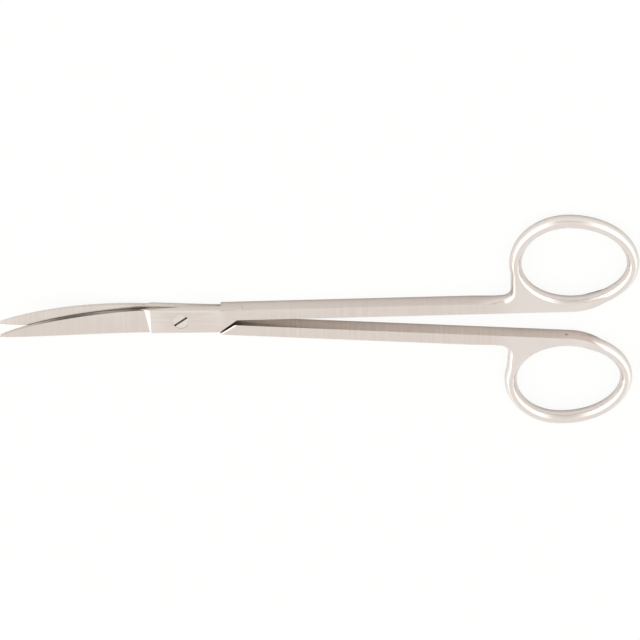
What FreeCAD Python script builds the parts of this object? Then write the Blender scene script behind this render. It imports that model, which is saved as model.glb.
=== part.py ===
import FreeCAD
import Part
import math
import os
import Sketcher

# Curved surgical scissors with a lap joint, lying on the backs of their shanks and rings.
# X runs from the tips to the finger rings and Z points up. The origin is on the ground, under the
# middle of the open tool's length and width.
# Each half is drawn closed, about its pivot's axis and a middle plane, with its plate above that plane and its shank and
# ring at positive Y. The rear half is then rolled over, and both are turned open by half.

sizes = {
    # lengths along the closed tool, from the pivot
    "blade_reach": 44.9,
    "blade_root": 6.0,
    "plunge_line": 7.6,
    "bend_start": 8.0,
    "shoulder_outer": 9.95,
    "shoulder_inner": 13.65,
    "plate_run_on": 1.85,
    "shank_blend_start": 73.0,
    # blade section and curve
    "blade_half_width": 3.3,
    "tip_half_width": 0.2,
    "belly_power": 2.5,
    "taper_power": 0.85,
    "bend_radius": 130.0,
    "spine_thickness": 1.35,
    "spine_thickness_tip": 0.75,
    "edge_thickness": 0.95,
    "edge_thickness_tip": 0.42,
    "spine_break": 0.2,
    "bevel_slope": 0.7,
    "bevel_run": 17.0,
    "bevel_least": 0.04,
    "blade_gap": 0.1,
    # joint plates
    "plate_half_width": 3.36,
    "plate_thickness_root": 1.47,
    "plunge_drop": 0.9,
    "plunge_length": 2.3,
    "plate_gap": 0.04,
    "shoulder_gap": 0.1,
    "shoulder_round": 1.6,
    "shoulder_chamfer": 0.3,
    # shanks
    "shank_thickness": 3.9,
    "shank_inner": 0.2,
    "shank_outer": 3.2,
    # finger rings
    "ring_left": 83.6,
    "ring_right": 112.75,
    "ring_far": 25.95,
    "ring_top_centre": 96.3,
    "ring_base_centre": 97.7,
    "ring_left_centre": 13.8,
    "ring_right_centre": 13.0,
    "bar_width": 3.0,
    "bar_flat": 1.05,
    "crook_round": 2.3,
    "crook_inset": 0.35,
    "crook_rise": 0.7,
    "web_cover": 0.05,
    # pivot
    "head_diameter": 4.05,
    "head_height": 0.7,
    "head_inset": 0.02,
    "head_clearance": 0.03,
    "seat_clearance": 0.03,
    "screw_diameter": 2.5,
    "bore_clearance": 0.05,
    "thread_clearance": 0.01,
    "slot_width": 0.55,
    "slot_depth": 0.45,
    "slot_angle": 38.8,
    # pose and place
    "opening_angle": 4.6,
    "pivot_from_middle": 34.4,
}

doc = FreeCAD.newDocument("SurgicalScissors")
sheet = doc.addObject("Spreadsheet::Sheet", "Sizes")
for row, (alias, number) in enumerate(sizes.items(), start=1):
    sheet.set(f"A{row}", alias)
    sheet.set(f"B{row}", str(number))
    sheet.setAlias(f"B{row}", alias)
doc.recompute()


def cell(alias):
    """The name of a sheet cell inside an expression."""
    return f"Sizes.{alias}"


def value(expression):
    """The number that an expression over the sheet gives."""
    return float(sheet.evalExpression(expression))


def origin_plane(body, role):
    """One of the body's own origin planes."""
    return next(item for item in body.Origin.OriginFeatures if item.Role == role)


def new_sketch(body, name, role, offset=None):
    """A sketch on an origin plane, lifted along the plane's normal by an expression."""
    sketch = body.newObject("Sketcher::SketchObject", name)
    sketch.AttachmentSupport = [(origin_plane(body, role), "")]
    sketch.MapMode = "FlatFace"
    if offset is not None:
        sketch.setExpression("AttachmentOffset.Base.z", offset)
    return sketch


def bind(sketch, kind, geometry, point, expression):
    """Tie one coordinate of a sketch point to an expression."""
    index = sketch.addConstraint(Sketcher.Constraint(kind, geometry, point, value(expression)))
    sketch.setExpression(f"Constraints[{index}]", expression)


def draw_outline(sketch, corners, arcs=None):
    """A closed outline through corners given as expression pairs. arcs maps an edge's number to
    the expression pair of a point that its arc passes through, anticlockwise, and how far across
    the arc's centre is."""
    arcs = arcs or {}
    points = [FreeCAD.Vector(value(across), value(up), 0) for across, up in corners]
    count = len(points)
    for number in range(count):
        start, end = points[number], points[(number + 1) % count]
        if number in arcs:
            across, up = arcs[number][0]
            middle = FreeCAD.Vector(value(across), value(up), 0)
            sketch.addGeometry(Part.Arc(start, middle, end), False)
        else:
            sketch.addGeometry(Part.LineSegment(start, end), False)
    for number, (across, up) in enumerate(corners):
        bind(sketch, "DistanceX", number, 1, across)
        bind(sketch, "DistanceY", number, 1, up)
        sketch.addConstraint(Sketcher.Constraint("Coincident", number, 2, (number + 1) % count, 1))
    for number, (through, centre) in arcs.items():
        bind(sketch, "DistanceX", number, 3, centre)


def station_fraction(station):
    """How far along the blade a station lies, 0 at its root and 1 at the tip."""
    return f"(({station}) - {cell('blade_root')}) / ({cell('blade_reach')} - {cell('blade_root')})"


def blade_rise(station):
    """Height of the blade's middle surface, flat to the bend and then a circular arc."""
    run = f"max(0; ({station}) - {cell('bend_start')})"
    return f"({cell('bend_radius')} - sqrt({cell('bend_radius')}^2 - ({run})^2))"


def blade_half_width(station):
    """Half the blade's width, full at the root and drawn in to a slim tip."""
    fullness = f"(1 - min(1; {station_fraction(station)})^{cell('belly_power')})^{cell('taper_power')}"
    spread = f"({cell('blade_half_width')} - {cell('tip_half_width')})"
    return f"({cell('tip_half_width')} + {spread} * {fullness})"


def tapered(root, tip, station):
    """A size that runs evenly from the blade's root to its tip."""
    return f"({cell(root)} + ({cell(tip)} - {cell(root)}) * {station_fraction(station)})"


def add_blade(body, bend):
    """The curved blade: one five-sided section at each station, lofted from root to tip. bend is +1
    where the blade curves towards the plate's side and -1 where it curves away from it."""
    fractions = [0, 0.12, 0.26, 0.4, 0.54, 0.68, 0.8, 0.89, 0.955, 1]
    sketches = []
    for number, fraction in enumerate(fractions):
        reach = f"({cell('blade_reach')} - {cell('blade_root')})"
        station = f"({cell('blade_root')} + {fraction} * {reach})"
        half = blade_half_width(station)
        spine = tapered("spine_thickness", "spine_thickness_tip", station)
        edge = tapered("edge_thickness", "edge_thickness_tip", station)
        growth = f"min(1; ({station} - {cell('bend_start')}) / {cell('bevel_run')})"
        bevel = f"({edge} * {cell('bevel_slope')} * max({cell('bevel_least')}; {growth}))"
        inner = f"({bend} * {blade_rise(station)} + {cell('blade_gap')} / 2)"
        broken = cell("spine_break")
        corners = [
            (f"-{half}", inner),
            (half, inner),
            (f"{half} - {bevel}", f"{inner} + {edge}"),
            (f"-{half} + {broken}", f"{inner} + {spine}"),
            (f"-{half}", f"{inner} + {spine} - {broken}"),
        ]
        sketch = new_sketch(body, f"BladeStation{number}", "YZ_Plane", f"-{station}")
        draw_outline(sketch, corners)
        sketches.append(sketch)
    loft = body.newObject("PartDesign::AdditiveLoft", "Blade")
    loft.Profile = sketches[0]
    loft.Sections = sketches[1:]
    loft.Ruled = False
    loft.Closed = False


def shoulder_slope():
    """Rise of the diagonal shoulder across the tool for each millimetre along it."""
    fall = f"({cell('shank_outer')} - {cell('shank_inner')})"
    return f"({fall} / ({cell('shoulder_inner')} - {cell('shoulder_outer')}))"


def plate_end():
    """Where the plate's outer face has come level with the shank's."""
    return f"({cell('shoulder_inner')} + {cell('plate_run_on')})"


def add_plate(body):
    """The joint plate: half the tool's thickness, its outer face level with the shank at one end
    and falling away at the plunge line to the thinner blade at the other."""
    half_gap = f"{cell('plate_gap')} / 2"
    full = f"{cell('shank_thickness')} / 2"
    plunge = cell("plunge_line")
    bottom = f"{cell('plate_thickness_root')} - {cell('plunge_drop')}"
    far = plate_end()
    side_view = new_sketch(body, "PlateSideView", "XZ_Plane")
    corners = [
        (f"-{plunge}", half_gap),
        (far, half_gap),
        (far, full),
        (f"-{plunge}", cell("plate_thickness_root")),
        (f"-({plunge} + {cell('plunge_length')})", bottom),
    ]
    draw_outline(side_view, corners)
    plate = body.newObject("PartDesign::Pad", "Plate")
    plate.Profile = side_view
    plate.SideType = "Symmetric"
    plate.setExpression("Length", f"2 * {cell('plate_half_width')}")
    doc.recompute()

    # The plate ends in a diagonal that meets the other half's shoulder when the tool is shut.
    slope = shoulder_slope()
    edge = f"({cell('plate_half_width')} + 1)"
    inner = cell("shank_inner")
    near = f"({cell('shoulder_outer')} - {cell('shoulder_gap')})"
    low = f"{near} - ({edge} - {cell('shank_outer')}) / {slope}"
    high = f"{near} + ({cell('shank_outer')} + {inner}) / {slope}"
    beyond = f"({far} + 1)"
    notch = new_sketch(body, "PlateDiagonal", "XY_Plane")
    corners = [(low, f"-{edge}"), (beyond, f"-{edge}"), (beyond, inner), (high, inner)]
    draw_outline(notch, corners)
    cut = body.newObject("PartDesign::Pocket", "PlateDiagonalCut")
    cut.Profile = notch
    cut.Type = "ThroughAll"
    cut.SideType = "Symmetric"
    doc.recompute()


def add_shank(body):
    """The straight shank from its diagonal shoulder to where it blends into the ring's bar."""
    inner, outer = cell("shank_inner"), cell("shank_outer")
    plan = new_sketch(body, "ShankPlan", "XY_Plane")
    corners = [
        (cell("shoulder_outer"), outer),
        (cell("shoulder_inner"), inner),
        (cell("shank_blend_start"), inner),
        (cell("shank_blend_start"), outer),
    ]
    draw_outline(plan, corners)
    shank = body.newObject("PartDesign::Pad", "Shank")
    shank.Profile = plan
    shank.SideType = "Symmetric"
    shank.setExpression("Length", cell("shank_thickness"))
    doc.recompute()


def bar_section(sketch, middle):
    """The ring's bar: flat faces above and below, and sides that bow outwards."""
    half_flat = f"{cell('bar_flat')} / 2"
    half_width = f"{cell('bar_width')} / 2"
    half_height = f"{cell('shank_thickness')} / 2"
    corners = [
        (f"{middle} - {half_flat}", f"-{half_height}"),
        (f"{middle} + {half_flat}", f"-{half_height}"),
        (f"{middle} + {half_flat}", half_height),
        (f"{middle} - {half_flat}", half_height),
    ]
    bow = f"({half_width} - {half_flat})"
    centre = f"((({half_height})^2 + {bow}^2) / (2 * {bow}) - {half_width})"
    arcs = {
        1: ((f"{middle} + {half_width}", "0"), f"{middle} - {centre}"),
        3: ((f"{middle} - {half_width}", "0"), f"{middle} + {centre}"),
    }
    draw_outline(sketch, corners, arcs)


def ring_base():
    """Where the bar's middle line runs closest to the other ring, just inside the web's wall."""
    return f"({cell('shank_inner')} + {cell('web_cover')} + {cell('bar_width')} / 2)"


def add_quarter(path, centre, reach, begin):
    """A quarter of an ellipse that runs anticlockwise from begin degrees. centre and reach are its
    centre and its signed semi-axes along X and Y, as expression pairs."""
    middle = FreeCAD.Vector(value(centre[0]), value(centre[1]), 0)
    across, up = abs(value(reach[0])), abs(value(reach[1]))
    if across > up:
        ellipse = Part.Ellipse(middle, across, up)
    else:
        ellipse = Part.Ellipse(middle + FreeCAD.Vector(0, up, 0), middle - FreeCAD.Vector(across, 0, 0), middle)
        begin = begin - 90
    arc = Part.ArcOfEllipse(ellipse, math.radians(begin), math.radians(begin + 90))
    index = path.addGeometry(arc, False)
    bind(path, "DistanceX", index, 3, centre[0])
    bind(path, "DistanceY", index, 3, centre[1])
    return index


def add_ring(body):
    """The finger ring: an egg of four quarter ellipses that meet where the bar runs level or
    upright, swept by the bar's section."""
    left, right, far, near = cell("ring_left"), cell("ring_right"), cell("ring_far"), ring_base()
    top_x, base_x = cell("ring_top_centre"), cell("ring_base_centre")
    left_y, right_y = cell("ring_left_centre"), cell("ring_right_centre")
    quarters = [
        (top_x, right_y, right, far, 0),
        (top_x, left_y, left, far, 90),
        (base_x, left_y, left, near, 180),
        (base_x, right_y, right, near, 270),
    ]
    path = new_sketch(body, "RingPath", "XY_Plane")
    count = len(quarters)
    starts = []
    for across, up, side_x, side_y, begin in quarters:
        reach = (f"{side_x} - {across}", f"{side_y} - {up}")
        starts.append(add_quarter(path, (across, up), reach, begin))
    for number, (across, up, side_x, side_y, begin) in enumerate(quarters):
        at_side = begin in (0, 180)
        bind(path, "DistanceX", starts[number], 1, side_x if at_side else across)
        bind(path, "DistanceY", starts[number], 1, up if at_side else side_y)
    section = new_sketch(body, "RingSection", "XZ_Plane", f"-{cell('ring_right_centre')}")
    bar_section(section, cell("ring_right"))
    doc.recompute()
    ring = body.newObject("PartDesign::AdditivePipe", "Ring")
    ring.Profile = section
    ring.Spine = (path, [f"Edge{number + 1}" for number in range(count)])
    doc.recompute()


def crook_lines():
    """The upright's middle line, how far it runs before it meets the ring's, and the level and the
    radius of the bend that takes it into the shank."""
    upright = f"({cell('ring_left')} + {cell('crook_inset')})"
    base = cell("ring_base_centre")
    share = f"(({base} - {upright}) / ({base} - {cell('ring_left')}))"
    depth = f"({cell('ring_left_centre')} - {ring_base()})"
    meeting = f"({cell('ring_left_centre')} - {depth} * sqrt(1 - {share}^2))"
    level = f"({ring_base()} + {cell('crook_rise')})"
    radius = f"({cell('crook_round')} + {cell('bar_width')} / 2)"
    return upright, meeting, level, radius


def add_crook(body):
    """The bar's rounded outer side carried on past the ring and round into the shank."""
    upright, meeting, level, radius = crook_lines()
    half_height = f"{cell('shank_thickness')} / 2"
    bend_top = f"{level} + {radius}"

    start = new_sketch(body, "BlendStart", "YZ_Plane", cell("shank_blend_start"))
    near, far = f"{cell('shank_inner')} + {cell('web_cover')}", cell("shank_outer")
    corners = [(near, f"-{half_height}"), (far, f"-{half_height}"), (far, half_height), (near, half_height)]
    draw_outline(start, corners)
    end = new_sketch(body, "BlendEnd", "YZ_Plane", f"{upright} - {radius}")
    bar_section(end, level)
    doc.recompute()
    loft = body.newObject("PartDesign::AdditiveLoft", "ShankBlend")
    loft.Profile = start
    loft.Sections = [end]
    doc.recompute()

    path = new_sketch(body, "CrookPath", "XY_Plane")
    top = FreeCAD.Vector(value(upright), value(meeting), 0)
    straight_end = FreeCAD.Vector(value(upright), value(bend_top), 0)
    bend_end = FreeCAD.Vector(value(f"{upright} - {radius}"), value(level), 0)
    diagonal = value(radius) * math.sqrt(0.5)
    through = FreeCAD.Vector(bend_end.x + diagonal, straight_end.y - diagonal, 0)
    path.addGeometry(Part.LineSegment(top, straight_end), False)
    path.addGeometry(Part.Arc(bend_end, through, straight_end), False)
    bind(path, "DistanceX", 0, 1, upright)
    bind(path, "DistanceY", 0, 1, meeting)
    bind(path, "DistanceX", 0, 2, upright)
    bind(path, "DistanceY", 0, 2, bend_top)
    path.addConstraint(Sketcher.Constraint("Coincident", 0, 2, 1, 2))
    bind(path, "DistanceX", 1, 1, f"{upright} - {radius}")
    bind(path, "DistanceY", 1, 1, level)
    bind(path, "DistanceX", 1, 3, f"{upright} - {radius}")
    section = new_sketch(body, "CrookSection", "XZ_Plane", f"-{meeting}")
    bar_section(section, upright)
    doc.recompute()
    crook = body.newObject("PartDesign::AdditivePipe", "Crook")
    crook.Profile = section
    crook.Spine = (path, ["Edge1", "Edge2"])
    crook.Refine = False
    doc.recompute()


def add_web(body):
    """The flat web that fills the corner between shank, crook and ring. Its inner side carries on
    the shank's straight wall and then sinks into the ring's bowed side along an arc."""
    upright, meeting, level, radius = crook_lines()
    middle = ring_base()
    diagonal = f"{radius} * sqrt(0.5)"
    base, inner = cell("ring_base_centre"), cell("shank_inner")
    right_across = f"({cell('ring_right')} - {base})"
    right_down = f"({cell('ring_right_centre')} - {middle})"
    fade_end = (f"{base} + {right_across} * sqrt(0.5)", f"{cell('ring_right_centre')} - {right_down} * sqrt(0.5)")
    # The arc starts in line with the wall, so its centre is right above the wall's end.
    rise = f"({fade_end[1]} - {inner})"
    fade_radius = f"(({right_across} * sqrt(0.5))^2 + {rise}^2) / (2 * {rise})"
    half_way = f"{right_across} * sqrt(0.5) / 2"
    through = (f"{base} + {half_way}", f"{inner} + {fade_radius} - sqrt(({fade_radius})^2 - ({half_way})^2)")
    corners = [(f"{cell('shank_blend_start')} - 1", inner), (base, inner), fade_end]
    across = f"({base} - {cell('ring_left')})"
    down = f"({cell('ring_left_centre')} - {middle})"
    for degrees in (90, 72, 56, 40, 24):
        along, fall = math.cos(math.radians(degrees)), math.sin(math.radians(degrees))
        point = (f"{base} - {across} * {along:.6f}", f"{cell('ring_left_centre')} - {down} * {fall:.6f}")
        corners.append(point)
    corners.append((upright, f"{meeting} - {cell('bar_width')} / 2"))
    corners.append((upright, f"{level} + {radius}"))
    corners.append((f"{upright} - {radius} + {diagonal}", f"{level} + {radius} - {diagonal}"))
    corners.append((f"{upright} - {radius}", level))
    corners.append((f"{cell('shank_blend_start')} - 1", level))
    plan = new_sketch(body, "WebPlan", "XY_Plane")
    draw_outline(plan, corners, {1: (through, base)})
    web = body.newObject("PartDesign::Pad", "Web")
    web.Profile = plan
    web.SideType = "Symmetric"
    web.setExpression("Length", cell("shank_thickness"))
    doc.recompute()


def face_height(along):
    """Height of a plate's outer face above the middle plane, at a place along the tool."""
    start, end = f"(0 - {cell('plunge_line')})", plate_end()
    climb = f"({cell('shank_thickness')} / 2 - {cell('plate_thickness_root')})"
    return f"({cell('plate_thickness_root')} + {climb} * ({along} - {start}) / ({end} - {start}))"


def add_hole(body, name, diameter, low, high):
    """A round hole on the pivot's axis between two heights."""
    sketch = new_sketch(body, name + "Plan", "XY_Plane", low)
    index = sketch.addGeometry(Part.Circle(FreeCAD.Vector(), FreeCAD.Vector(0, 0, 1), 1), False)
    sketch.addConstraint(Sketcher.Constraint("Coincident", index, 3, -1, 1))
    size = sketch.addConstraint(Sketcher.Constraint("Diameter", index, value(diameter)))
    sketch.setExpression(f"Constraints[{size}]", diameter)
    pocket = body.newObject("PartDesign::Pocket", name)
    pocket.Profile = sketch
    pocket.Reversed = True
    pocket.setExpression("Length", f"{high} - ({low})")
    before = body.Shape.Volume
    doc.recompute()
    if not body.Shape.Volume < before:
        raise RuntimeError(f"{name} cuts nothing")


def head_top():
    """The screw head lies level with the lowest part of the plate's face around it."""
    return f"({face_height('0 - ' + cell('head_diameter') + ' / 2')} - {cell('head_inset')})"


def add_front_bore(body):
    """Recess and running bore for the pivot screw."""
    head = f"({cell('head_diameter')} + 2 * {cell('head_clearance')})"
    bore = f"({cell('screw_diameter')} + 2 * {cell('bore_clearance')})"
    seat = f"({head_top()} - {cell('head_height')} - {cell('seat_clearance')})"
    add_hole(body, "Recess", head, seat, f"({cell('shank_thickness')} / 2 + 1)")
    add_hole(body, "Bore", bore, "0 - 1", f"({seat} + 0.1)")


def add_rear_bore(body):
    """Threaded seat of the pivot screw, drawn smooth."""
    seat = f"({cell('screw_diameter')} + 2 * {cell('thread_clearance')})"
    add_hole(body, "ThreadSeat", seat, "0 - 1", f"({cell('shank_thickness')} / 2 + 1)")


def edges_at(shape, test):
    """Names of the edges whose two ends both pass a test."""
    names = []
    for number, edge in enumerate(shape.Edges, start=1):
        ends = [vertex.Point for vertex in edge.Vertexes]
        if len(ends) == 2 and all(test(point) for point in ends):
            names.append(f"Edge{number}")
    return names


def finish_shoulder(body):
    """Break the shoulder's outer edge, then round its corner into the shank's inner wall."""
    last = body.Tip
    inner_x, inner_y = value(cell("shoulder_inner")), value(cell("shank_inner"))
    outer_x, outer_y = value(cell("shoulder_outer")), value(cell("shank_outer"))
    level = -value(cell("shank_thickness")) / 2
    ends = [FreeCAD.Vector(inner_x, inner_y, level), FreeCAD.Vector(outer_x, outer_y, level)]

    def on_ridge(point):
        return min((point - end).Length for end in ends) < 0.01

    chamfer = body.newObject("PartDesign::Chamfer", "ShoulderChamfer")
    chamfer.Base = (last, edges_at(last.Shape, on_ridge))
    chamfer.setExpression("Size", cell("shoulder_chamfer"))
    doc.recompute()

    def on_corner(point):
        return point.z < 0.1 and math.hypot(point.x - inner_x, point.y - inner_y) < 0.01

    fillet = body.newObject("PartDesign::Fillet", "ShoulderRound")
    fillet.Base = (chamfer, edges_at(chamfer.Shape, on_corner))
    fillet.setExpression("Radius", cell("shoulder_round"))
    doc.recompute()


def build_half(name, bend, add_bore):
    """One forged half, from its plate to its finger ring and the tip of its blade."""
    body = doc.addObject("PartDesign::Body", name)
    body.Label = name
    add_plate(body)
    add_shank(body)
    add_ring(body)
    add_crook(body)
    add_blade(body, bend)
    doc.recompute()
    add_web(body)
    add_bore(body)
    finish_shoulder(body)
    return body


def set_place(body, yaw, roll):
    """Roll a piece about X, turn it about Z and carry its pivot to where it lies over the ground."""
    spot = f"vector(-{cell('pivot_from_middle')}; 0; {cell('shank_thickness')} / 2)"
    body.setExpression("Placement", f"placement({spot}; rotation({yaw}; 0; {roll}))")


def build_screw():
    """Slotted pivot screw: a flat head and a plain shank, worn level with the rear plate."""
    body = doc.addObject("PartDesign::Body", "pivot_screw")
    body.Label = "pivot_screw"
    section = new_sketch(body, "ScrewSection", "XZ_Plane")
    head = f"{cell('head_diameter')} / 2"
    shaft = f"{cell('screw_diameter')} / 2"
    bottom = f"(0 - {face_height('0 - ' + shaft)})"
    neck = f"({head_top()} - {cell('head_height')})"
    corners = [
        ("0", bottom),
        (shaft, bottom),
        (shaft, neck),
        (head, neck),
        (head, head_top()),
        ("0", head_top()),
    ]
    draw_outline(section, corners)
    turned = body.newObject("PartDesign::Revolution", "Turned")
    turned.Profile = section
    turned.ReferenceAxis = (section, ["V_Axis"])
    turned.Angle = 360
    doc.recompute()
    slot = new_sketch(body, "SlotPlan", "XY_Plane", head_top())
    reach, half = cell("head_diameter"), f"{cell('slot_width')} / 2"
    corners = [(f"-{reach}", f"-{half}"), (reach, f"-{half}"), (reach, half), (f"-{reach}", half)]
    draw_outline(slot, corners)
    slot.setExpression("AttachmentOffset.Rotation.Angle", cell("slot_angle"))
    cut = body.newObject("PartDesign::Pocket", "Slot")
    cut.Profile = slot
    cut.setExpression("Length", cell("slot_depth"))
    before = body.Shape.Volume
    doc.recompute()
    if not body.Shape.Volume < before:
        raise RuntimeError("The slot cuts nothing")
    return body


front = build_half("front_half", 1, add_front_bore)
rear = build_half("rear_half", -1, add_rear_bore)
screw = build_screw()
half_opening = f"{cell('opening_angle')} / 2"
set_place(front, half_opening, "0")
set_place(rear, f"-{half_opening}", "180")
set_place(screw, "0", "0")
doc.recompute()

pieces = [front, rear, screw]

for item in doc.Objects:
    if "Invalid" in item.State or "Error" in item.State:
        raise RuntimeError(f"{item.Name} failed: {item.State}")
for body in pieces:
    if body.Shape.isNull() or not body.Shape.isValid() or len(body.Shape.Solids) != 1:
        raise RuntimeError(f"{body.Label} is not one valid solid")

os.makedirs("parts", exist_ok=True)
for body in pieces:
    body.Shape.exportStep(f"parts/{body.Label}.step")
    print(body.Label, round(body.Shape.Volume, 2), body.Shape.BoundBox)
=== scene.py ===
import math

import bpy
from mathutils import Matrix, Vector

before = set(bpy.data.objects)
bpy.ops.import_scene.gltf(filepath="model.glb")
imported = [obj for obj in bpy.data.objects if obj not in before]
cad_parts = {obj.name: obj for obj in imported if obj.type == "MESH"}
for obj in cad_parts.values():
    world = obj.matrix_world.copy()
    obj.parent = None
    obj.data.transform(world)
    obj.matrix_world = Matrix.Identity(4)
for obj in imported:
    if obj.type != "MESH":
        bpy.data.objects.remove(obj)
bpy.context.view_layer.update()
print("frame loaded:", sorted(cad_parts))

mm = 0.001
nodeSpacing = 190
numberSocket = "NodeSocketFloat"


def addNode(tree, kind, place=(0, 0), **settings):
    node = tree.nodes.new(kind)
    node.location = (place[0] * nodeSpacing, place[1] * nodeSpacing)
    for name, value in settings.items():
        setattr(node, name, value)
    return node


def feed(tree, item, socket):
    # item is a number, a colour, a socket, or a (node, socket name) pair
    if isinstance(item, (int, float)):
        socket.default_value = item
    elif isinstance(item, tuple) and isinstance(item[1], str):
        tree.links.new(item[0].outputs[item[1]], socket)
    elif isinstance(item, tuple):
        socket.default_value = (*item, 1)
    else:
        tree.links.new(item, socket)


def mathNode(tree, operation, *items, place=(0, 0), clamp=False):
    node = addNode(tree, "ShaderNodeMath", place, operation=operation, use_clamp=clamp)
    for item, socket in zip(items, node.inputs):
        feed(tree, item, socket)
    return node.outputs[0]


def product(tree, *items, place=(0, 0)):
    result = items[0]
    for step, item in enumerate(items[1:]):
        result = mathNode(tree, "MULTIPLY", result, item, place=(place[0] + step, place[1]))
    return result


def opposite(tree, mask, place=(0, 0)):
    return mathNode(tree, "SUBTRACT", 1.0, mask, place=place)


def smoothMask(tree, value, start, end, place=(0, 0)):
    # 0 below start, 1 above end, eased between them
    node = addNode(tree, "ShaderNodeMapRange", place, interpolation_type="SMOOTHSTEP")
    feed(tree, value, node.inputs["Value"])
    feed(tree, start, node.inputs["From Min"])
    feed(tree, end, node.inputs["From Max"])
    return node.outputs["Result"]


def mixNode(tree, kind, factor, first, second, place=(0, 0), **settings):
    node = addNode(tree, "ShaderNodeMix", place, data_type=kind, **settings)
    for label, item in (("Factor", factor), ("A", first), ("B", second)):
        feed(tree, item, node.inputs[label])
    return node.outputs["Result"]


def splitNode(tree, source, place=(0, 0)):
    node = addNode(tree, "ShaderNodeSeparateXYZ", place)
    feed(tree, source, node.inputs["Vector"])
    return node


def noiseNode(tree, vector, scale, place=(0, 0), **values):
    node = addNode(tree, "ShaderNodeTexNoise", place)
    feed(tree, vector, node.inputs["Vector"])
    node.inputs["Scale"].default_value = scale
    for label, value in values.items():
        node.inputs[label].default_value = value
    return (node, "Fac")


def newGroup(name, inputs, outputs):
    # a group whose sockets are all plain numbers
    group = bpy.data.node_groups.new(name, "ShaderNodeTree")
    for label, value in inputs.items():
        socket = group.interface.new_socket(name=label, in_out="INPUT", socket_type=numberSocket)
        socket.default_value = value
    for label in outputs:
        group.interface.new_socket(name=label, in_out="OUTPUT", socket_type=numberSocket)
    start = addNode(group, "NodeGroupInput", (-6, 0))
    end = addNode(group, "NodeGroupOutput", (8, 0))
    return group, start, end


def useGroup(tree, group, place, **values):
    node = addNode(tree, "ShaderNodeGroup", place, node_tree=group)
    for label, value in values.items():
        feed(tree, value, node.inputs[label])
    return node


grinding = {
    "across": 60.0,  # how fast the pattern changes along a line, per metre
    "along": 1800.0,  # and from one line to the next
    "detail": 3.0,
    "breakup": 0.65,
    "cloudScale": 90.0,
    "cloudDetail": 4.0,
}


def makeGrindGroup(look):
    # fine parallel grinding lines, and a soft cloudiness over the whole surface
    values = {"Across": look["across"], "Along": look["along"], "Depth": 1.0}
    group, start, end = newGroup("grindLines", values, ["Lines", "Cloud"])
    place = addNode(group, "ShaderNodeTexCoord", (-5, 1))
    split = splitNode(group, (place, "Object"), (-4, 1))
    join = addNode(group, "ShaderNodeCombineXYZ", (-2, 1))
    for row, (axis, label) in enumerate((("X", "Along"), ("Y", "Across"), ("Z", "Across"))):
        stretched = mathNode(group, "MULTIPLY", (split, axis), (start, label), place=(-3, 2 - row))
        feed(group, stretched, join.inputs[axis])
    lines = noiseNode(group, (join, "Vector"), 1.0, (-1, 1), Detail=look["detail"],
                      Roughness=look["breakup"])
    centred = mathNode(group, "SUBTRACT", lines, 0.5, place=(0, 1))
    scaled = mathNode(group, "MULTIPLY", centred, (start, "Depth"), place=(1, 1))
    feed(group, scaled, end.inputs["Lines"])
    cloud = noiseNode(group, (place, "Object"), look["cloudScale"], (-1, -1),
                      Detail=look["cloudDetail"])
    feed(group, cloud, end.inputs["Cloud"])
    return group


wearing = {
    "sharpness": (0.52, 0.62),  # pointiness where wear begins, and where it is full
    "reach": 0.5,
    "breakup": 0.35,
    "speckleScale": 700.0,
    "speckleDetail": 3.0,
}


def makeWearGroup(look):
    # bright worn edges, broken up by a fine speckle
    values = {"Reach": look["reach"], "Breakup": look["breakup"]}
    group, start, end = newGroup("edgeWear", values, ["Mask"])
    shape = addNode(group, "ShaderNodeNewGeometry", (-5, 0))
    turn = smoothMask(group, (shape, "Pointiness"), *look["sharpness"], (-3, 0))
    place = addNode(group, "ShaderNodeTexCoord", (-5, -2))
    speckle = noiseNode(group, (place, "Object"), look["speckleScale"], (-3, -2),
                        Detail=look["speckleDetail"])
    broken = mathNode(group, "MULTIPLY", speckle, (start, "Breakup"), place=(-1, -2))
    kept = mathNode(group, "SUBTRACT", turn, broken, clamp=True)
    mask = mathNode(group, "MULTIPLY", kept, (start, "Reach"), place=(2, 0), clamp=True)
    feed(group, mask, end.inputs["Mask"])
    return group


def makeCreviceGroup():
    # shade that gathers in slots, seams, inside corners and low down near the ground
    values = {"Depth": 0.55, "Reach": 2.0 * mm, "Shut": 0.12, "Open": 0.9}
    group, start, end = newGroup("creviceShade", values, ["Shade"])
    hidden = addNode(group, "ShaderNodeAmbientOcclusion", (-3, 0), samples=8)
    feed(group, (start, "Reach"), hidden.inputs["Distance"])
    openness = smoothMask(group, (hidden, "AO"), (start, "Shut"), (start, "Open"), (-1, 0))
    closed = opposite(group, openness)
    taken = mathNode(group, "MULTIPLY", closed, (start, "Depth"), place=(1, 0))
    shade = mathNode(group, "SUBTRACT", 1.0, taken, place=(2, 0), clamp=True)
    feed(group, shade, end.inputs["Shade"])
    return group


facing = {
    "bladeEnd": -43.0 * mm,  # the blades are beyond this
    "tip": (-74.0 * mm, -62.0 * mm),  # the bevel's painted dark reflection fades out towards the tip
    "bevelSteepness": (0.45, 0.6),
    "bevelLean": (0.02, 0.08),
    "wallSteepness": (0.75, 0.92),
    "wallOffMiddle": (4.2 * mm, 8.5 * mm),  # the inner walls' painted shade and heavier grinding lines fade out along the rings
    "levelFaces": (0.2, 0.6),
}


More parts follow.
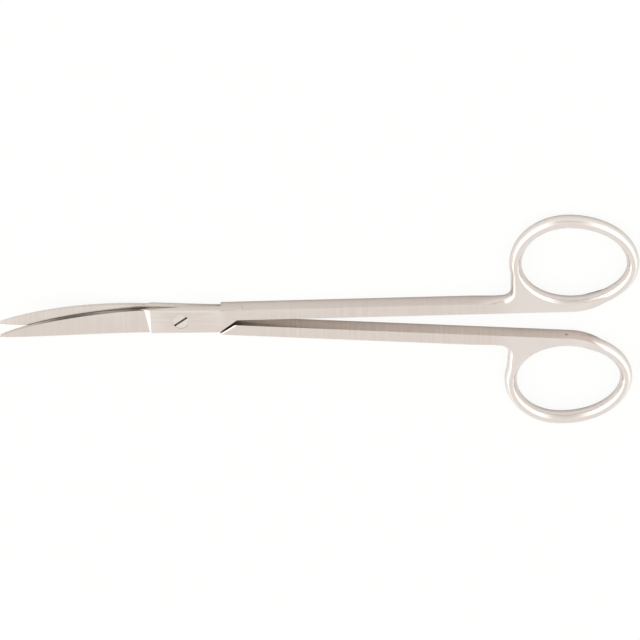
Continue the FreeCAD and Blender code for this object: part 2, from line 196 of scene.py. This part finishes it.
def makeFaceGroup(look):
    # where the ground cutting bevels, the walls between the shanks and all upright sides are
    tipFrom, tipTo = look["tip"]
    wallNear, wallFar = look["wallOffMiddle"]
    values = {
        "BladeEnd": look["bladeEnd"],
        "TipFrom": tipFrom,
        "TipTo": tipTo,
        "WallNear": wallNear,
        "WallFar": wallFar,
    }
    group, start, end = newGroup("faceMasks", values, ["Bevel", "InnerWall", "Upright"])
    shape = addNode(group, "ShaderNodeTexCoord", (-5, 0))
    normal = splitNode(group, (shape, "Normal"), (-4, 1))
    place = splitNode(group, (shape, "Object"), (-4, -1))

    # a bevel faces sideways and out of the blade's flat face
    steep = mathNode(group, "ABSOLUTE", (normal, "Y"), place=(-3, 2))
    steepEnough = smoothMask(group, steep, *look["bevelSteepness"], (-2, 2))
    leaning = mathNode(group, "MULTIPLY", (normal, "Y"), (normal, "Z"), place=(-3, 1))
    leansOut = smoothMask(group, leaning, *look["bevelLean"], (-2, 1))
    onBlade = mathNode(group, "LESS_THAN", (place, "X"), (start, "BladeEnd"), place=(-2, 0))
    offTip = smoothMask(group, (place, "X"), (start, "TipFrom"), (start, "TipTo"), (-2, 3))
    bevel = product(group, steepEnough, leansOut, onBlade, offTip, place=(-1, 2))
    feed(group, bevel, end.inputs["Bevel"])

    # upright sides: the material paints shade on them
    flat = mathNode(group, "ABSOLUTE", (normal, "Z"), place=(-3, 4))
    level = smoothMask(group, flat, *look["levelFaces"], (-2, 4))
    feed(group, opposite(group, level, (-1, 4)), end.inputs["Upright"])

    # an inner wall faces the tool's middle line
    side = mathNode(group, "SIGN", (place, "Y"), place=(-3, -1))
    inwards = product(group, side, (normal, "Y"), -1.0, place=(-2, -1))
    isWall = smoothMask(group, inwards, *look["wallSteepness"], (0, -1))
    offMiddle = mathNode(group, "ABSOLUTE", (place, "Y"), place=(-2, -2))
    far = smoothMask(group, offMiddle, (start, "WallNear"), (start, "WallFar"), (-1, -2))
    near = opposite(group, far, (0, -3))
    offBlade = opposite(group, onBlade, (0, -2))
    feed(group, product(group, isWall, near, offBlade, place=(1, -1)), end.inputs["InnerWall"])
    return group


grindLines = makeGrindGroup(grinding)
edgeWear = makeWearGroup(wearing)
creviceShade = makeCreviceGroup()
faceMasks = makeFaceGroup(facing)
print("shared finishes ready")


satinSteel = {
    "color": (0.725, 0.65, 0.59),
    "ringColor": (0.775, 0.715, 0.665),
    # the bevel colour is a painted dark reflection, the wall colour a painted shade between the
    # shanks
    "bevelDarkReflection": (0.118, 0.092, 0.073),
    "wallShadeColor": (0.70, 0.595, 0.52),
    "wornColor": (0.86, 0.81, 0.76),
    # the upright tone is a painted shade on all upright sides
    "uprightShade": 0.92,
    "lineDepth": 0.9,
    "lineShade": 0.18,
    "wallLines": 1.6,
    "plateAlong": 70.0,
    "plateAcross": 1500.0,
    "plateStart": (-43.0 * mm, -42.0 * mm),
    "plateEnd": (-16.0 * mm, -13.0 * mm),
    "cloudShade": 0.06,
    "roughness": 0.24,
    "polishedRoughness": 0.26,
    "roughnessSwing": 0.10,
    "polish": (41.0 * mm, 50.0 * mm),  # where the rings' polish begins, and where it is full
    "creviceDepth": 0.55,
    "creviceReach": 2.0 * mm,
    "ringReach": 1.2 * mm,  # added to the painted crevice shade's reach round the rings
    "creviceRange": (0.12, 0.9),
    "pitPlace": (62.1 * mm, -4.08 * mm, 2.1 * mm),
    "pitSize": 0.62 * mm,
    "pitCore": 0.3,
    "pitDepth": 0.5,
    "edgeRound": 0.14 * mm,
    "bump": 0.05,
    "bumpDistance": 0.02 * mm,
}


def steelLines(tree, split, look):
    # the joint's plates are ground lengthwise, everything else straight across
    depth = look["lineDepth"]
    crosswise = useGroup(tree, grindLines, (-3, 1), Depth=depth)
    lengthwise = useGroup(tree, grindLines, (-3, 0), Depth=depth, Along=look["plateAlong"],
                          Across=look["plateAcross"])
    plateStart = smoothMask(tree, (split, "X"), *look["plateStart"], (-3, 4))
    plateEnd = smoothMask(tree, (split, "X"), *look["plateEnd"], (-3, 5))
    onPlate = mathNode(tree, "SUBTRACT", plateStart, plateEnd, place=(-2, 4))
    lines = mixNode(tree, "FLOAT", onPlate, (crosswise, "Lines"), (lengthwise, "Lines"), (-2, 1))
    return lines, (crosswise, "Cloud")


def steelTint(tree, polish, faces, look):
    wear = useGroup(tree, edgeWear, (-3, -2))
    tint = mixNode(tree, "RGBA", polish, look["color"], look["ringColor"], (-1, 4))
    # the cutting bevels get a painted dark reflection
    tint = mixNode(tree, "RGBA", (faces, "Bevel"), tint, look["bevelDarkReflection"], (0, 4))
    # the inner walls between the shanks get a painted shade
    tint = mixNode(tree, "RGBA", (faces, "InnerWall"), tint, look["wallShadeColor"], (1, 4))
    return mixNode(tree, "RGBA", (wear, "Mask"), tint, look["wornColor"], (0, 1))


def pitMask(tree, place, look):
    # one small dark pit in the forging
    away = addNode(tree, "ShaderNodeVectorMath", (0, 5), operation="DISTANCE")
    feed(tree, (place, "Object"), away.inputs[0])
    away.inputs[1].default_value = look["pitPlace"]
    core = look["pitSize"] * look["pitCore"]
    sound = smoothMask(tree, (away, "Value"), core, look["pitSize"], (1, 5))
    depth = look["pitDepth"]
    return mathNode(tree, "MULTIPLY_ADD", sound, depth, 1 - depth, place=(2, 5))


def steelCreviceShade(tree, polish, look):
    # painted shade in crevices and low down near the ground, reaching further round the rings
    shut, clear = look["creviceRange"]
    reach = mathNode(tree, "MULTIPLY_ADD", polish, look["ringReach"], look["creviceReach"],
                     place=(-4, -3))
    crevice = useGroup(tree, creviceShade, (-3, -3), Depth=look["creviceDepth"], Reach=reach,
                       Shut=shut, Open=clear)
    return (crevice, "Shade")


def makeSatinSteel(name, look):
    material = bpy.data.materials.new(name)
    material.use_nodes = True
    tree = material.node_tree
    tree.nodes.clear()
    output = addNode(tree, "ShaderNodeOutputMaterial", (8, 0))
    steel = addNode(tree, "ShaderNodeBsdfPrincipled", (6, 0))
    steel.inputs["Metallic"].default_value = 1.0
    feed(tree, (steel, "BSDF"), output.inputs["Surface"])

    # the rings and crooks are polished, the shanks and blades keep their satin
    place = addNode(tree, "ShaderNodeTexCoord", (-5, 3))
    split = splitNode(tree, (place, "Object"), (-4, 3))
    polish = smoothMask(tree, (split, "X"), *look["polish"], (-3, 3))
    satin = opposite(tree, polish, (-2, 3))
    faces = useGroup(tree, faceMasks, (-3, -4))
    lines, cloud = steelLines(tree, split, look)

    # colour: the tint of each face, darkened by grinding lines, painted shade in crevices, painted
    # shade on upright sides, and the pit
    tint = steelTint(tree, polish, faces, look)
    cloudShade = look["cloudShade"]
    cloudy = mathNode(tree, "MULTIPLY_ADD", cloud, cloudShade, 1 - cloudShade / 2, place=(-1, 0))
    weight = mathNode(tree, "MULTIPLY_ADD", (faces, "InnerWall"), look["wallLines"], satin,
                      place=(-1, 3))
    weighted = mathNode(tree, "MULTIPLY", lines, weight, place=(0, 3))
    lined = mathNode(tree, "MULTIPLY_ADD", weighted, look["lineShade"], cloudy, place=(0, 2))
    # painted shade on upright sides
    sides = mathNode(tree, "MULTIPLY_ADD", (faces, "Upright"), look["uprightShade"] - 1, 1.0,
                     place=(0, 3))
    crevices = steelCreviceShade(tree, polish, look)
    tone = product(tree, lined, crevices, sides, pitMask(tree, place, look), place=(1, 3))
    grey = addNode(tree, "ShaderNodeCombineXYZ", (1, 2))
    for axis in "XYZ":
        feed(tree, tone, grey.inputs[axis])
    shaded = mixNode(tree, "RGBA", 1.0, tint, (grey, "Vector"), (2, 1), blend_type="MULTIPLY")
    feed(tree, shaded, steel.inputs["Base Color"])

    streak = mathNode(tree, "MULTIPLY", lines, satin, place=(-1, 2))
    rough = mixNode(tree, "FLOAT", polish, look["roughness"], look["polishedRoughness"], (1, -1))
    swing = mathNode(tree, "MULTIPLY", streak, look["roughnessSwing"], place=(1, -2))
    total = mathNode(tree, "ADD", rough, swing, place=(3, -1), clamp=True)
    feed(tree, total, steel.inputs["Roughness"])

    rounded = addNode(tree, "ShaderNodeBevel", (2, -4), samples=6)
    rounded.inputs["Radius"].default_value = look["edgeRound"]
    bump = addNode(tree, "ShaderNodeBump", (4, -3))
    bump.inputs["Strength"].default_value = look["bump"]
    bump.inputs["Distance"].default_value = look["bumpDistance"]
    feed(tree, streak, bump.inputs["Height"])
    feed(tree, (rounded, "Normal"), bump.inputs["Normal"])
    feed(tree, (bump, "Normal"), steel.inputs["Normal"])
    return material


screwLook = dict(
    satinSteel,
    color=(0.71, 0.64, 0.58),
    roughness=0.3,
    edgeRound=0.05 * mm,
    # the slot gets deeper painted shade, and the upright sides darker painted shade
    creviceDepth=0.82,
    creviceReach=0.8 * mm,
    ringReach=0.0,
    creviceRange=(0.3, 0.97),
    uprightShade=0.75,
)
halfSteel = makeSatinSteel("satinSteel", satinSteel)
screwSteel = makeSatinSteel("screwSteel", screwLook)
finishes = {"front_half": halfSteel, "rear_half": halfSteel, "pivot_screw": screwSteel}
for nodeName, material in finishes.items():
    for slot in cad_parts[nodeName].material_slots:
        slot.material = material
print("steel assigned")


surround = {
    "level": 0.96,
    "openingHeights": (0.10, 0.22, 0.30, 0.44),
    "openingWidth": (0.80, 0.93),
    "darkness": 0.28,
    "sideGain": 0.78,
    "sideReach": (0.2, 0.62),
    "sideHeights": (0.56, 0.78),
    "lampTowards": (-0.57, -0.57, 0.59),
    "lampEdge": (0.93, 0.985),
    "lampGain": 0.9,
}


def tentLevel(tree, look):
    # how bright the tent is in each direction
    place = addNode(tree, "ShaderNodeTexCoord", (-5, 0))
    split = splitNode(tree, (place, "Generated"), (-4, 1))
    sideways = mathNode(tree, "ABSOLUTE", (split, "X"), place=(-3, 1))
    side = smoothMask(tree, sideways, *look["sideReach"], (-2, 1))
    above = smoothMask(tree, (split, "Z"), *look["sideHeights"], (-2, 2))
    sideLight = product(tree, side, look["sideGain"], opposite(tree, above, (-1, 2)), place=(-1, 1))

    aim = addNode(tree, "ShaderNodeVectorMath", (-4, -2), operation="DOT_PRODUCT")
    feed(tree, (place, "Generated"), aim.inputs[0])
    aim.inputs[1].default_value = Vector(look["lampTowards"]).normalized()
    lamp = smoothMask(tree, (aim, "Value"), *look["lampEdge"], (-3, -2))
    lampLight = mathNode(tree, "MULTIPLY", lamp, look["lampGain"], place=(-1, -2))

    low, lowFull, highFull, high = look["openingHeights"]
    over = smoothMask(tree, (split, "Z"), low, lowFull, (-3, -1))
    past = smoothMask(tree, (split, "Z"), highFull, high, (-3, -3))
    band = mathNode(tree, "SUBTRACT", over, past, place=(-2, -1))
    middle = smoothMask(tree, (split, "Y"), *look["openingWidth"], (-3, -4))
    opening = mathNode(tree, "MULTIPLY", band, middle, place=(-1, -1))
    shut = mathNode(tree, "MULTIPLY_ADD", opening, -look["darkness"], 1.0, place=(0, -1))

    bright = mathNode(tree, "ADD", sideLight, look["level"], place=(0, 1))
    bright = mathNode(tree, "ADD", bright, lampLight, place=(1, 0))
    return mathNode(tree, "MULTIPLY", bright, shut, place=(2, 0))


def makeSurround(look):
    # a white light tent, brighter at its two sides, with a lamp and a dim opening in its wall
    world = bpy.data.worlds.new("lightTent")
    bpy.context.scene.world = world
    world.use_nodes = True
    tree = world.node_tree
    tree.nodes.clear()
    output = addNode(tree, "ShaderNodeOutputWorld", (9, 0))
    tent = addNode(tree, "ShaderNodeBackground", (4, 0))
    tent.inputs["Color"].default_value = (1, 1, 1, 1)
    feed(tree, tentLevel(tree, look), tent.inputs["Strength"])
    plain = addNode(tree, "ShaderNodeBackground", (4, -2))
    plain.inputs["Color"].default_value = (1, 1, 1, 1)
    plain.inputs["Strength"].default_value = 1.0
    rays = addNode(tree, "ShaderNodeLightPath", (4, 3))
    mix = addNode(tree, "ShaderNodeMixShader", (7, 0))
    feed(tree, (rays, "Is Camera Ray"), mix.inputs["Fac"])
    feed(tree, (tent, "Background"), mix.inputs[1])
    feed(tree, (plain, "Background"), mix.inputs[2])
    feed(tree, (mix, "Shader"), output.inputs["Surface"])


ground = {
    "halfSize": 1.5,
    "drop": 0.02 * mm,
    "color": (0.9, 0.9, 0.9),
    "roughness": 0.9,
    "glowColor": (1, 1, 0.985),
    "glowShare": 0.9,  # the rest keeps the object's shadow
}


def makeFloor(look):
    size = look["halfSize"]
    mesh = bpy.data.meshes.new("paleFloor")
    corners = [(-size, -size, 0), (size, -size, 0), (size, size, 0), (-size, size, 0)]
    mesh.from_pydata(corners, [], [(0, 1, 2, 3)])
    floor = bpy.data.objects.new("paleFloor", mesh)
    floor.location.z = -look["drop"]
    bpy.context.collection.objects.link(floor)
    material = bpy.data.materials.new("paleFloor")
    material.use_nodes = True
    tree = material.node_tree
    paper = tree.nodes["Principled BSDF"]
    paper.inputs["Base Color"].default_value = (*look["color"], 1)
    paper.inputs["Roughness"].default_value = look["roughness"]
    paper.inputs["Specular IOR Level"].default_value = 0.0
    glow = addNode(tree, "ShaderNodeEmission", (0, -2))
    glow.inputs["Color"].default_value = (*look["glowColor"], 1)
    rays = addNode(tree, "ShaderNodeLightPath", (-2, 3))
    share = mathNode(tree, "MULTIPLY", (rays, "Is Camera Ray"), look["glowShare"], place=(0, 3))
    mix = addNode(tree, "ShaderNodeMixShader", (4, 0))
    feed(tree, share, mix.inputs["Fac"])
    feed(tree, (paper, "BSDF"), mix.inputs[1])
    feed(tree, (glow, "Emission"), mix.inputs[2])
    feed(tree, (mix, "Shader"), tree.nodes["Material Output"].inputs["Surface"])
    mesh.materials.append(material)


view = {
    "aim": (0.35 * mm, -0.3 * mm, 1.95 * mm),
    "distance": 1.0,
    "tilt": 35.0,  # away from straight above, towards +Y
    "turn": 0.42,
    "lens": 225.0,
    "sensor": 36.0,
    "nearest": 0.05,
}


def makeCamera(look):
    tilt = math.radians(look["tilt"])
    turn = math.radians(look["turn"])
    back = Vector((0, math.sin(tilt), math.cos(tilt)))
    across = Vector((1, 0, 0))
    upright = Vector((0, math.cos(tilt), -math.sin(tilt)))
    right = across * math.cos(turn) + upright * math.sin(turn)
    up = upright * math.cos(turn) - across * math.sin(turn)
    data = bpy.data.cameras.new("photoCamera")
    data.lens = look["lens"]
    data.sensor_width = look["sensor"]
    data.clip_start = look["nearest"]
    camera = bpy.data.objects.new("photoCamera", data)
    spot = Vector(look["aim"]) + back * look["distance"]
    axes = Matrix((right, up, back)).transposed().to_4x4()
    camera.matrix_world = Matrix.Translation(spot) @ axes
    bpy.context.collection.objects.link(camera)
    bpy.context.scene.camera = camera


makeSurround(surround)
makeFloor(ground)
makeCamera(view)
bpy.context.scene.view_settings.view_transform = "Standard"
print("studio ready")
